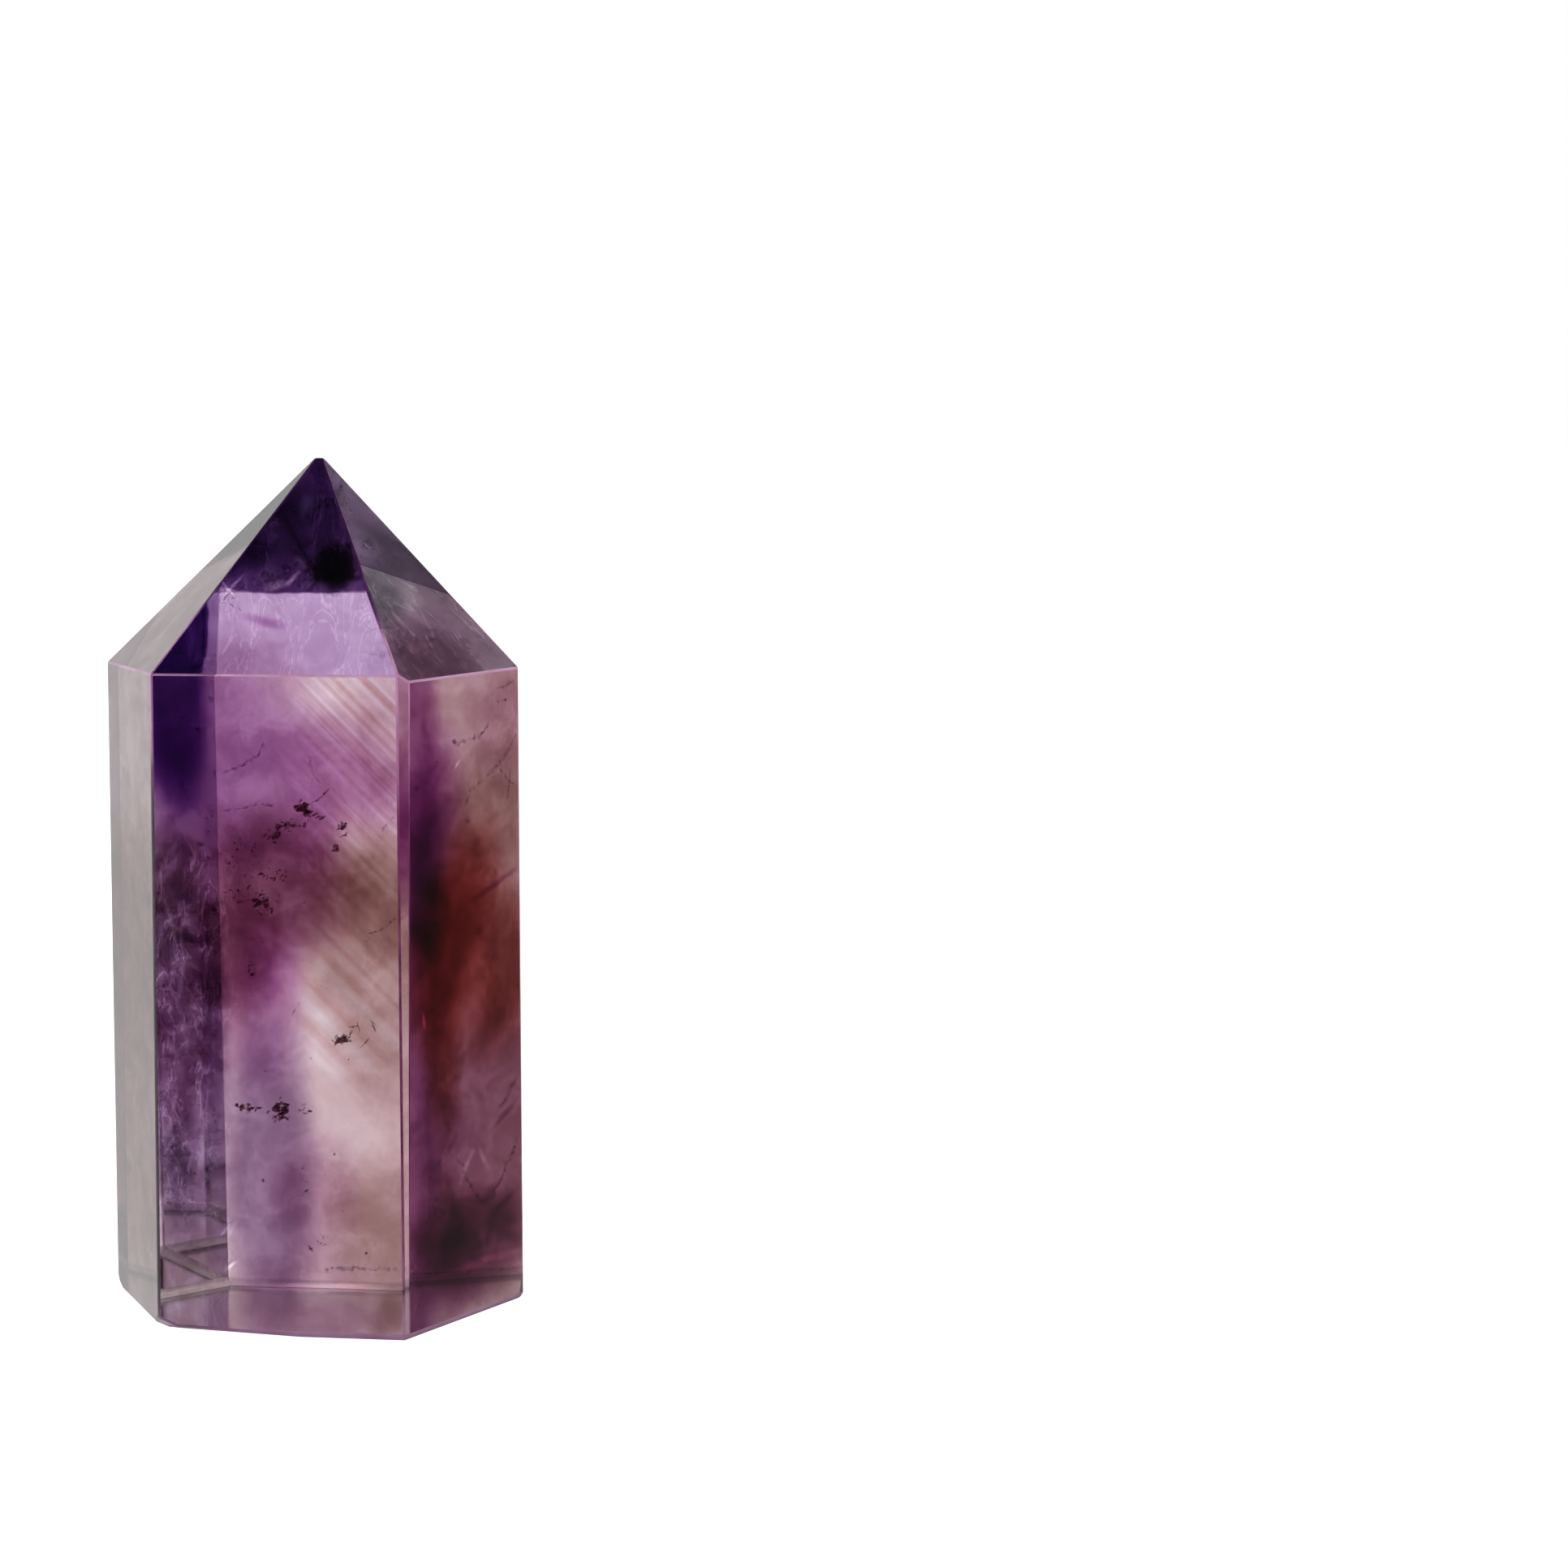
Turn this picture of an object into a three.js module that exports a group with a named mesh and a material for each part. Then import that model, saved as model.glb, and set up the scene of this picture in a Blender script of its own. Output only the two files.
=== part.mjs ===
// Ametrine tower: one piece of two-coloured quartz, cut as a six-sided prism that ends in a
// six-sided point. It stands on its polished base, with its widest face towards -Y.
// Lengths are in millimetres and angles in degrees. Azimuth 0 is +X and 90 is +Y.
import * as THREE from 'three';
import { ConvexGeometry } from 'three/addons/geometries/ConvexGeometry.js';

// Driving dimensions
const sharpHeight = 72;
const midHeight = 27;
const apex = new THREE.Vector3(0.4, -0.2, sharpHeight);
const edgeRadius = 0.4;
const roundingStep = 24;

// The six sides, counter-clockwise from the left one. Each faces an azimuth, stands at a reach
// from the axis at mid height and leans a little, because it was ground by hand. Its point facet
// starts at the two shoulder heights, at the side's left and right corner seen from outside.
const sides = [
  { facing: 203.5, reach: 16.0, lean: 0.45, shoulders: [54.4, 54.7] },
  { facing: 263.0, reach: 13.0, lean: 0.05, shoulders: [54.7, 54.8] },
  { facing: 327.6, reach: 14.6, lean: -0.35, shoulders: [54.3, 54.2] },
  { facing: 25.0, reach: 14.9, lean: 0.15, shoulders: [54.2, 54.5] },
  { facing: 83.0, reach: 13.2, lean: 0.0, shoulders: [54.6, 54.4] },
  { facing: 142.0, reach: 15.1, lean: -0.3, shoulders: [54.5, 54.4] },
];

// The narrow strip that blunts the corner between the front and the right side
const stripFacing = 299.6;
const stripReach = 16.15;

// Rounding of the base: every base edge is broken in two steps, and the corner at the front left
// is worn back much further. A wear plane faces an azimuth, dips below the horizon, and takes
// off a depth measured from the sharp corner.
const baseBreakDips = [30, 60];
const baseBreakDepth = 0.3;
const tipBreakDepth = 0.4;
const wornCorner = [
  { facing: 175, dip: 22, depth: 0.75 },
  { facing: 180, dip: 50, depth: 1.1 },
  { facing: 203, dip: 68, depth: 0.8 },
  { facing: 228, dip: 18, depth: 0.55 },
  { facing: 235, dip: 48, depth: 1.05 },
  { facing: 255, dip: 72, depth: 0.7 },
];

// A unit vector that faces an azimuth and dips below the horizon
function direction(facing, dip) {
  const azimuth = THREE.MathUtils.degToRad(facing);
  const drop = THREE.MathUtils.degToRad(dip);
  const level = Math.cos(drop);
  return new THREE.Vector3(Math.cos(azimuth) * level, Math.sin(azimuth) * level, -Math.sin(drop));
}

// A plane with its normal outwards: the stone lies where normal . point <= reach
function outwardPlane(normal, point) {
  return { normal, reach: normal.dot(point) };
}

function sidePlane({ facing, reach, lean }) {
  const foot = direction(facing, 0).multiplyScalar(reach);
  foot.z = midHeight;
  return outwardPlane(direction(facing, -lean), foot);
}

// The point that three planes share, or null where two of them are nearly parallel
function meetingPoint(a, b, c) {
  const parallelLimit = 1e-3;
  const bc = new THREE.Vector3().crossVectors(b.normal, c.normal);
  const ca = new THREE.Vector3().crossVectors(c.normal, a.normal);
  const ab = new THREE.Vector3().crossVectors(a.normal, b.normal);
  const volume = a.normal.dot(bc);
  if (Math.abs(volume) < parallelLimit) return null;
  return bc.multiplyScalar(a.reach).addScaledVector(ca, b.reach).addScaledVector(ab, c.reach)
    .divideScalar(volume);
}

// The corner of two sides, at a given height
function sideCorner(first, second, height) {
  const level = { normal: new THREE.Vector3(0, 0, 1), reach: height };
  return meetingPoint(sidePlane(first), sidePlane(second), level);
}

// The point facet above a side: through its two shoulder corners and the apex
function facetPlane(index) {
  const side = sides[index];
  const leftNeighbour = sides[(index + sides.length - 1) % sides.length];
  const rightNeighbour = sides[(index + 1) % sides.length];
  const left = sideCorner(leftNeighbour, side, side.shoulders[0]);
  const right = sideCorner(side, rightNeighbour, side.shoulders[1]);
  const along = right.sub(left);
  const upwards = apex.clone().sub(left);
  return outwardPlane(along.cross(upwards).normalize(), apex);
}

// All corners of the solid that the planes enclose, each with the three planes that meet there
function corners(planes) {
  const slack = 1e-6;
  const found = [];
  for (let i = 0; i < planes.length; i += 1) {
    for (let j = i + 1; j < planes.length; j += 1) {
      for (let k = j + 1; k < planes.length; k += 1) {
        const point = meetingPoint(planes[i], planes[j], planes[k]);
        const inside = point && planes.every((p) => p.normal.dot(point) <= p.reach + slack);
        if (inside) found.push({ point, normals: [i, j, k].map((n) => planes[n].normal) });
      }
    }
  }
  return found;
}

// Grinds the solid with one more plane, to a depth below what sticks out furthest that way
function grind(planes, normal, depth) {
  const reach = Math.max(...corners(planes).map(({ point }) => normal.dot(point)));
  planes.push({ normal, reach: reach - depth });
}

function stonePlanes() {
  const planes = sides.map(sidePlane);
  sides.forEach((side, index) => planes.push(facetPlane(index)));
  planes.push({ normal: new THREE.Vector3(0, 0, -1), reach: 0 });
  planes.push({ normal: direction(stripFacing, 0), reach: stripReach });
  const sharp = [...planes];
  const broken = [...sides.map(({ facing }) => facing), stripFacing];
  for (const facing of broken) {
    for (const dip of baseBreakDips) {
      const normal = direction(facing, dip);
      const reach = Math.max(...corners(sharp).map(({ point }) => normal.dot(point)));
      planes.push({ normal, reach: reach - baseBreakDepth });
    }
  }
  for (const { facing, dip, depth } of wornCorner) {
    const normal = direction(facing, dip);
    const reach = Math.max(...corners(sharp).map(({ point }) => normal.dot(point)));
    planes.push({ normal, reach: reach - depth });
  }
  grind(planes, new THREE.Vector3(0, 0, 1), tipBreakDepth);
  return planes;
}

// Points on the part of a ball that lies between three normals, where the ball rounds a corner
function roundedCorner({ point, normals }) {
  const [a, b, c] = normals;
  const widest = Math.max(a.angleTo(b), b.angleTo(c), c.angleTo(a));
  const steps = Math.max(1, Math.ceil(THREE.MathUtils.radToDeg(widest) / roundingStep));
  const points = [];
  for (let i = 0; i <= steps; i += 1) {
    for (let j = 0; j <= steps - i; j += 1) {
      const outwards = a.clone().multiplyScalar(i).addScaledVector(b, j)
        .addScaledVector(c, steps - i - j).normalize();
      points.push(outwards.multiplyScalar(edgeRadius).add(point));
    }
  }
  return points;
}

// The stone with round edges: its planes move in by the edge radius, and a ball of that radius
// at every corner brings them back out.
function roundedStone(planes) {
  const inner = planes.map(({ normal, reach }) => ({ normal, reach: reach - edgeRadius }));
  return new ConvexGeometry(corners(inner).flatMap(roundedCorner));
}

// Puts the origin at the middle of the stone's box, on the surface that it stands on
function standOnOrigin(geometry) {
  geometry.computeBoundingBox();
  const { min, max } = geometry.boundingBox;
  return geometry.translate(-(min.x + max.x) / 2, -(min.y + max.y) / 2, -min.z);
}

function ametrineTower() {
  const quartz = new THREE.MeshStandardMaterial({
    color: 0x8a5c93, roughness: 0.04, metalness: 0, transparent: true, opacity: 0.6,
  });
  const tower = new THREE.Mesh(standOnOrigin(roundedStone(stonePlanes())), quartz);
  tower.name = 'ametrine_tower';
  return tower;
}

const object = new THREE.Group();
object.add(ametrineTower());
export default object;
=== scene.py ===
"""Ametrine tower: the looks of one polished quartz point, violet at the top and golden below.

Lengths are in metres, in the frame's own axes: +Z is up and the widest side faces -Y.
"""
import math
import random
from dataclasses import dataclass

import bmesh
import bpy
from mathutils import Euler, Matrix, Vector
from mathutils.bvhtree import BVHTree


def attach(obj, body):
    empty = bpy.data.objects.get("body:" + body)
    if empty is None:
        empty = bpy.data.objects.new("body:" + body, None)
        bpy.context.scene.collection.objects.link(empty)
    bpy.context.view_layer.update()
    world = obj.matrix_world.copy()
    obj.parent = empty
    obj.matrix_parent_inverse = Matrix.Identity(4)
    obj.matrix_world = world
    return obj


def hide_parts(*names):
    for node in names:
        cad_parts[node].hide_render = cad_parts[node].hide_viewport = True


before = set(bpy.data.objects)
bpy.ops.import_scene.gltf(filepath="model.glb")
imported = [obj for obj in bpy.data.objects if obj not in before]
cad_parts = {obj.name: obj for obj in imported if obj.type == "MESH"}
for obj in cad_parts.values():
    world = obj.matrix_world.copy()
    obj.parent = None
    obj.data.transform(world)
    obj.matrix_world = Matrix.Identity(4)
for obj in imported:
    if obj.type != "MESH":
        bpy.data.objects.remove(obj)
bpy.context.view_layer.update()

TOWER = "ametrine_tower"
MM = 0.001
WELD = 1e-6
FLAT_ANGLE = math.radians(0.5)

# Camera: the photograph's own view of the tower
PHOTO_SIZE_PX = 1932
FOCAL_PX = 4749
HORIZON_ROW_PX = 341
CAMERA_PLACE = Vector((0.0396, -0.3210, 0.0865))
SENSOR_WIDTH_MM = 36

# Quartz
QUARTZ_IOR = 1.544
POLISH_ROUGHNESS = 0.02
GROUND_ROUGHNESS = 0.12
RIM_ROUGHNESS = 0.9
GROUND_HEIGHT_MM = 1.2
# Where a side ends and its rounded edge starts: how much of the normal points up or down
RIM_START = 0.06
HAZE_COLOUR = (0.78, 0.71, 0.82)
HAZE_DEPTH = 0.026

# Roughly which way each flat face looks, as azimuth and elevation in degrees. The solid says it exactly.
ROUGH_FACES = {
    "left": (205, 0),
    "front": (265, 0),
    "blunt_strip": (300, 0),
    "right": (330, 0),
    "left_point": (205, 40),
    "front_point": (265, 40),
    "right_point": (330, 40),
    "right_back": (25, 0),
    "back": (85, 0),
    "left_back": (140, 0),
    "right_back_point": (25, 40),
    "back_point": (85, 40),
    "left_back_point": (140, 40),
    "base": (0, -90),
}
LEAST_FLAT = 20 * MM**2
FACE_TOLERANCE = math.cos(math.radians(4))

# Studio: an even white room, with dark parts round some directions. Each dark part starts and is
# full at a cosine from its direction. The backdrop that the camera sees is white all round.
WALL_LIGHT = 0.95
DARK_LIGHT = 0.015
DARK_PARTS = [
    ((0, 0, 1), 0.45, 0.62),
    ((0.99, -0.12, 0.0), 0.72, 0.90),
    ((0.20, -0.80, -0.56), 0.58, 0.72),
]
BACKDROP_LIGHT = 1.0
SOFTBOX_SIZE = (3.0, 2.6)
SOFTBOX_PLACE = Vector((0.0, 0.45, 1.3))
SOFTBOX_AIM = Vector((0.0, 0.25, 0.0))
SOFTBOX_POWER = 60
LIGHT_BOUNCES = 18
FLOOR_RADIUS = 1.7
FLOOR_DROP = 0.05 * MM
FLOOR_COLOUR = (0.9, 0.9, 0.9, 1.0)


def direction(azimuth, elevation):
    """The unit vector that looks towards an azimuth and an elevation, in degrees."""
    turn, rise = math.radians(azimuth), math.radians(elevation)
    return Vector((math.cos(turn) * math.cos(rise), math.sin(turn) * math.cos(rise), math.sin(rise)))


def welded_stone():
    """The solid of the stone with each flat face in one piece."""
    shape = bmesh.new()
    shape.from_mesh(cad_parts[TOWER].data)
    bmesh.ops.remove_doubles(shape, verts=shape.verts, dist=WELD)
    bmesh.ops.dissolve_limit(shape, angle_limit=FLAT_ANGLE, verts=shape.verts, edges=shape.edges)
    return shape


def flat_faces():
    """The outward direction of each large flat face of the solid, by name."""
    shape = welded_stone()
    normals = [face.normal.copy() for face in shape.faces if face.calc_area() > LEAST_FLAT]
    shape.free()
    return {name: max(normals, key=direction(*rough).dot) for name, rough in ROUGH_FACES.items()}


FACES = flat_faces()


class Graph:
    """A short way to write a node graph."""

    def __init__(self, tree):
        self.tree = tree

    def add(self, kind, settings=None, **inputs):
        node = self.tree.nodes.new(kind)
        for key, value in (settings or {}).items():
            setattr(node, key, value)
        for key, value in inputs.items():
            self.feed(node.inputs[key.replace("_", " ")], value)
        return node

    def feed(self, socket, value):
        if isinstance(value, bpy.types.NodeSocket):
            self.tree.links.new(value, socket)
        else:
            socket.default_value = value

    def math(self, operation, first, second=0.0):
        node = self.add("ShaderNodeMath", {"operation": operation})
        self.feed(node.inputs[0], first)
        self.feed(node.inputs[1], second)
        return node.outputs[0]

    def vector(self, operation, first, second):
        node = self.add("ShaderNodeVectorMath", {"operation": operation})
        self.feed(node.inputs[0], first)
        self.feed(node.inputs["Scale" if operation == "SCALE" else 1], second)
        return node.outputs["Value" if operation in {"LENGTH", "DOT_PRODUCT"} else "Vector"]

    def place(self):
        """Where a point of the surface is, in millimetres."""
        where = self.add("ShaderNodeTexCoord").outputs["Object"]
        return self.vector("SCALE", where, 1 / MM)

    def split(self, vector):
        return self.add("ShaderNodeSeparateXYZ", Vector=vector).outputs

    def noise(self, where, scale, detail=3.0, roughness=0.5, distortion=0.0, wanted="Fac"):
        node = self.add("ShaderNodeTexNoise", Vector=where, Scale=scale, Detail=detail, Roughness=roughness,
                        Distortion=distortion)
        return node.outputs[wanted]

    def fade(self, value, start, end, low=0.0, high=1.0):
        node = self.add("ShaderNodeMapRange", {"interpolation_type": "SMOOTHSTEP"})
        for index, number in enumerate((value, start, end, low, high)):
            self.feed(node.inputs[index], number)
        return node.outputs[0]

    def mix(self, share, first, second):
        node = self.add("ShaderNodeMix", {"data_type": "RGBA"})
        self.feed(node.inputs["Factor"], share)
        for key, value in (("A", first), ("B", second)):
            socket = next(s for s in node.inputs if s.name == key and s.type == "RGBA")
            self.feed(socket, value if isinstance(value, bpy.types.NodeSocket) else (*value, 1.0))
        return next(s for s in node.outputs if s.type == "RGBA")


class MaterialGraph(Graph):
    """The node graph of one new material."""

    def __init__(self, name):
        self.material = bpy.data.materials.new(name)
        self.material.use_nodes = True
        super().__init__(self.material.node_tree)
        self.shader = self.tree.nodes["Principled BSDF"]
        self.output = self.tree.nodes["Material Output"]

    def set(self, **values):
        for key, value in values.items():
            self.feed(self.shader.inputs[key.replace("_", " ")], value)


# How strongly each dye of the stone absorbs red, green and blue light
VIOLET = (0.5, 1.0, 0.5)
INDIGO = (0.65, 1.0, 0.4)
LILAC = (0.75, 1.0, 0.6)
MAUVE = (0.6, 1.0, 0.75)
AMBER = (0.65, 0.92, 1.0)
RUST = (0.42, 1.0, 1.02)
SMOKE = (1.0, 1.0, 1.0)


@dataclass
class Zone:
    """A soft oval of one dye behind a face: centre and half sizes in millimetres, across and up.

    It is full strength within its core, a share of its reach, and fades from there. A strength
    below zero makes a streak that is clearer than the stone round it.
    """

    dye: tuple
    strength: float
    centre: tuple
    reach: tuple
    tilt: float = 0.0
    core: float = 0.0


LEFT_ZONES = [
    Zone(SMOKE, 0.8, (0, 27), (60, 90), core=0.6),
    Zone(AMBER, 1.0, (0, 27), (60, 90), core=0.6),
    Zone(AMBER, 1.5, (-2, 30), (22, 17), core=0.3),
    Zone(AMBER, 0.8, (-6, 12), (20, 9), core=0.3),
]
FRONT_ZONES = [
    Zone(AMBER, 0.8, (0, 25), (60, 90), core=0.6),
    Zone(INDIGO, 0.7, (-7, 49), (13, 15), core=0.2),
    Zone(VIOLET, 1.0, (-7, 48), (12, 14), core=0.2),
    Zone(VIOLET, 1.2, (4, 46.5), (9, 6), tilt=-30, core=0.1),
    Zone(MAUVE, 2.6, (-2, 38), (9, 8), tilt=-20, core=0.2),
    Zone(MAUVE, 1.8, (-5.5, 32), (5, 8), core=0.2),
    Zone(LILAC, 1.2, (-2.5, 14), (5, 17), core=0.4),
    Zone(VIOLET, 0.9, (-3, 27), (5, 9), core=0.2),
    Zone(VIOLET, 1.1, (-2, 31.5), (4, 6)),
    Zone(VIOLET, 1.0, (1.5, 42), (4, 5)),
    Zone(MAUVE, 0.8, (1.5, 12), (5, 7), core=0.3),
    Zone(AMBER, 1.8, (8, 36.5), (9, 6), tilt=-45, core=0.2),
    Zone(AMBER, 0.9, (3, 33), (4, 7), core=0.1),
    Zone(AMBER, 0.8, (8, 27), (7, 12), core=0.2),
    Zone(AMBER, 0.9, (8, 9), (7, 9), core=0.3),
    Zone(MAUVE, 0.6, (8, 50), (6, 7), core=0.3),
    Zone(AMBER, 0.6, (7.5, 1.8), (2.6, 3), core=0.2),
    Zone(MAUVE, 0.5, (1, 3), (9, 6), core=0.3),
    # A thin clearer line at 4.4 mm lightens the dark line that the rounded foot shows across the face:
    # painted light.
    Zone(SMOKE, -0.9, (1.5, 4.4), (10, 0.6), core=0.3),
    Zone(VIOLET, 0.3, (0, 1.4), (10, 2.6), core=0.3),
    # From here on the zones lie in the dark band on the left. Its darkness is the dark room that the far
    # faces reflect inwards; these dyes deepen it as painted shade besides the stone's violet, and the ones
    # below zero are clearer streaks.
    Zone(INDIGO, 3.4, (-10.8, 56), (4, 14.5), tilt=8, core=0.6),
    Zone(LILAC, 1.3, (-9.5, 24), (4.5, 19), core=0.5),
    Zone(MAUVE, 0.9, (-9.5, 29), (4.5, 15), core=0.4),
    Zone(LILAC, -1.1, (-10.4, 35), (0.4, 3.2), tilt=12),
    Zone(LILAC, -1.0, (-9.2, 34.2), (3.2, 0.4), tilt=38),
    Zone(LILAC, -0.9, (-8.4, 30.8), (1.8, 0.4), tilt=-20),
    Zone(MAUVE, -1.0, (-9.6, 30), (0.45, 3.6), tilt=-8),
    Zone(MAUVE, -0.8, (-7.6, 37.5), (0.4, 2.6), tilt=-35),
    Zone(LILAC, -0.9, (-8, 16), (0.5, 4.5), tilt=-10),
    Zone(LILAC, -0.7, (-10.6, 18), (0.4, 4), tilt=-14),
    Zone(SMOKE, -0.7, (-10.7, 16), (0.25, 0.9), tilt=-32, core=0.3),
    Zone(SMOKE, -0.7, (-6.3, 8.8), (0.2, 0.7), tilt=-35, core=0.3),
    Zone(SMOKE, -0.6, (-6, 5.9), (0.2, 0.9), tilt=-48, core=0.3),
    Zone(SMOKE, 0.6, (-10.5, 36), (4.5, 9), core=0.2),
    Zone(MAUVE, 0.6, (-10, 39), (4, 6), core=0.2),
    Zone(SMOKE, 0.7, (-10.5, 14), (3, 5), core=0.2),
]
RIGHT_ZONES = [
    Zone(AMBER, 1.2, (-6, 25), (60, 90), core=0.6),
    Zone(MAUVE, 0.3, (-6, 25), (60, 90), core=0.6),
    Zone(VIOLET, 1.7, (-14, 30), (4.5, 60), core=0.5),
    Zone(VIOLET, 2.3, (-13, 38.5), (4.5, 12), core=0.1),
    Zone(VIOLET, 1.8, (-10.5, 44), (4, 9), core=0.1),
    Zone(SMOKE, 0.9, (-12, 36.5), (3.5, 7), core=0.1),
    Zone(AMBER, 1.0, (-4, 42.5), (9, 7), core=0.3),
    Zone(RUST, 4.4, (-8.8, 33), (6.2, 12), tilt=-20, core=0.15),
    Zone(RUST, 2.2, (-10, 24), (3, 10), core=0.2),
    Zone(RUST, 2.2, (-2.5, 29), (5, 9), core=0.2),
    Zone(AMBER, 0.9, (-2, 31), (5, 10), core=0.2),
    Zone(RUST, 1.4, (-5.5, 25.5), (4, 6), core=0.1),
    Zone(MAUVE, 0.6, (-3, 50), (6, 7), core=0.3),
    Zone(MAUVE, 1.6, (-5, 16), (10, 12), core=0.5),
    Zone(MAUVE, 3.2, (-6, 6.2), (9, 6.2), core=0.2),
    Zone(VIOLET, 0.9, (-9, 4), (5, 6)),
    Zone(MAUVE, 2.2, (-10.5, 8.5), (4.5, 6), core=0.2),
    Zone(VIOLET, 0.8, (-10, 16), (3.5, 6)),
    Zone(VIOLET, 1.2, (-4.5, 36.2), (4.5, 0.45), tilt=21),
    Zone(MAUVE, 0.9, (-4, 8.6), (4, 0.5), tilt=28),
    Zone(MAUVE, 0.8, (-3, 16.5), (3.2, 0.4), tilt=35),
    Zone(MAUVE, -0.8, (-7.6, 13.2), (2.1, 0.4), tilt=57),
    Zone(MAUVE, -0.8, (-5.6, 13.4), (1.8, 0.4), tilt=-62),
    # A thin clearer line at 4.4 mm lightens the dark line that the rounded foot shows across the face:
    # painted light.
    Zone(SMOKE, -0.5, (-6.5, 4.4), (7, 0.6), core=0.3),
    Zone(SMOKE, -1.2, (-0.7, 12.4), (1.1, 0.3), tilt=50),
    Zone(SMOKE, -1.5, (-12.1, 26.3), (0.25, 1.2), tilt=10),
    Zone(LILAC, -0.8, (-8.2, 46.9), (0.7, 0.2), tilt=45),
]
LEFT_POINT_ZONES = [
    Zone(SMOKE, 1.0, (0, 60), (60, 60), core=0.6),
    Zone(AMBER, 1.1, (0, 60), (60, 60), core=0.6),
    Zone(SMOKE, 3.0, (-2, 70), (9, 7), tilt=-35, core=0.6),
]
FRONT_POINT_ZONES = [
    Zone(LILAC, 0.8, (0, 60), (60, 60), core=0.6),
    Zone(MAUVE, 0.4, (0, 60), (60, 60), core=0.6),
    Zone(MAUVE, 0.6, (-4, 55), (7, 4), core=0.2),
    Zone(INDIGO, 4.0, (-12, 57), (5.2, 7), core=0.9),
    Zone(SMOKE, 0.6, (-12, 57), (5.2, 7), core=0.9),
    Zone(LILAC, 1.9, (0, 68), (20, 7.1), core=0.97),
    Zone(LILAC, 1.6, (0, 68.5), (9, 7), core=0.4),
    Zone(SMOKE, 3.0, (3, 63), (2.6, 2.4), core=0.3),
    Zone(LILAC, 2.0, (-4.7, 64), (4, 2), tilt=10, core=0.2),
    Zone(SMOKE, 0.6, (0, 66), (9, 5), core=0.3),
    Zone(LILAC, -2.0, (-1.8, 61.6), (1.6, 0.5), tilt=12),
    Zone(LILAC, -2.2, (-0.4, 62.2), (1.3, 0.35), tilt=50),
    Zone(LILAC, -1.8, (0.2, 63.4), (0.9, 0.3), tilt=-35),
    Zone(LILAC, -2.0, (-5.2, 61.7), (1.6, 0.25), tilt=48),
    Zone(LILAC, -1.8, (-5.9, 61.4), (1.2, 0.2), tilt=-40),
    Zone(LILAC, -1.4, (-2.4, 66.4), (1.0, 0.6), tilt=30),
    Zone(VIOLET, -1.8, (0.3, 67.6), (1.0, 1.6), tilt=-20),
    Zone(VIOLET, 0.9, (-2.6, 58.9), (2.6, 0.6), tilt=-8),
]
RIGHT_POINT_ZONES = [
    Zone(SMOKE, 1.2, (-6, 60), (60, 60), core=0.6),
    Zone(MAUVE, 0.3, (-6, 60), (60, 60), core=0.6),
    Zone(MAUVE, 2.2, (-10.5, 54), (9, 5.5), tilt=35, core=0.3),
    Zone(MAUVE, 0.8, (-1, 58), (7, 7), tilt=-40, core=0.3),
    Zone(SMOKE, 0.9, (-8, 61), (6, 2.2), tilt=30, core=0.3),
    Zone(SMOKE, 1.0, (-1.7, 63), (5, 4), tilt=-40, core=0.1),
]
BASE_ZONES = [
    Zone(VIOLET, 0.5, (0, 0), (60, 60), core=0.6),
]
STRIP_ZONES = [
    Zone(AMBER, 1.3, (9, 25), (60, 90), core=0.6),
    Zone(VIOLET, 0.9, (9, 50), (9, 14), core=0.5),
    Zone(VIOLET, 2.0, (9, 42), (9, 9)),
    Zone(AMBER, 0.8, (9, 33), (9, 10)),
]
REAR_ZONES = [
    Zone(AMBER, 0.9, (0, 25), (60, 90), core=0.6),
    Zone(VIOLET, 1.3, (0, 52), (30, 17), core=0.3),
    Zone(VIOLET, 1.2, (-6, 38), (7, 11), tilt=-20, core=0.2),
    Zone(LILAC, 0.8, (3, 7), (16, 10), core=0.2),
    Zone(RUST, 1.6, (5, 27), (12, 13), tilt=-30, core=0.2),
]
REAR_POINT_ZONES = [
    Zone(LILAC, 1.4, (0, 60), (60, 60), core=0.6),
]
# The rounded edges: a mauve and lilac tint, and painted shade that darkens them, most along the left
# upright edge, to damp the bright lines that their curves make.
RIM_TINT_AND_SHADE_ZONES = [
    Zone(MAUVE, 1.4, (0, 25), (60, 90), core=0.6),
    Zone(MAUVE, 2.2, (10, 26), (6, 28), core=0.5),
    Zone(SMOKE, 2.4, (-13, 26), (2.5, 30), core=0.8),
    Zone(LILAC, 2.8, (0, 66), (14, 10.5), core=0.7),
]
# The pages of a chart that lies over the stone: the zones of each page, and the faces that show it with
# the coordinate that runs across them. The first page is for the rounded edges, which it tints and
# darkens with painted shade.
PAGES = [
    (RIM_TINT_AND_SHADE_ZONES, {}),
    (LEFT_ZONES, {"left": "Y"}),
    (FRONT_ZONES, {"front": "X"}),
    (STRIP_ZONES, {"blunt_strip": "X"}),
    (RIGHT_ZONES, {"right": "Y"}),
    (LEFT_POINT_ZONES, {"left_point": "Y"}),
    (FRONT_POINT_ZONES, {"front_point": "X"}),
    (RIGHT_POINT_ZONES, {"right_point": "Y"}),
    (BASE_ZONES, {"base": "X"}),
    (REAR_ZONES, {"right_back": "Y", "back": "X", "left_back": "Y"}),
    (REAR_POINT_ZONES, {"right_back_point": "Y", "back_point": "X", "left_back_point": "Y"}),
]
PAGE_STEP = 200
# Size and reach, in millimetres, of the noises that blur the outlines of the zones
WAVERS = [(9.0, 1.2), (2.0, 0.4)]
# How strongly the growth stripes absorb red, green and blue light, and where they fade in across the face
STRIPE_TAKES = (0.4, 0.9, 1.0)
STRIPE_EDGE = (-1.5, 3.0)
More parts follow.
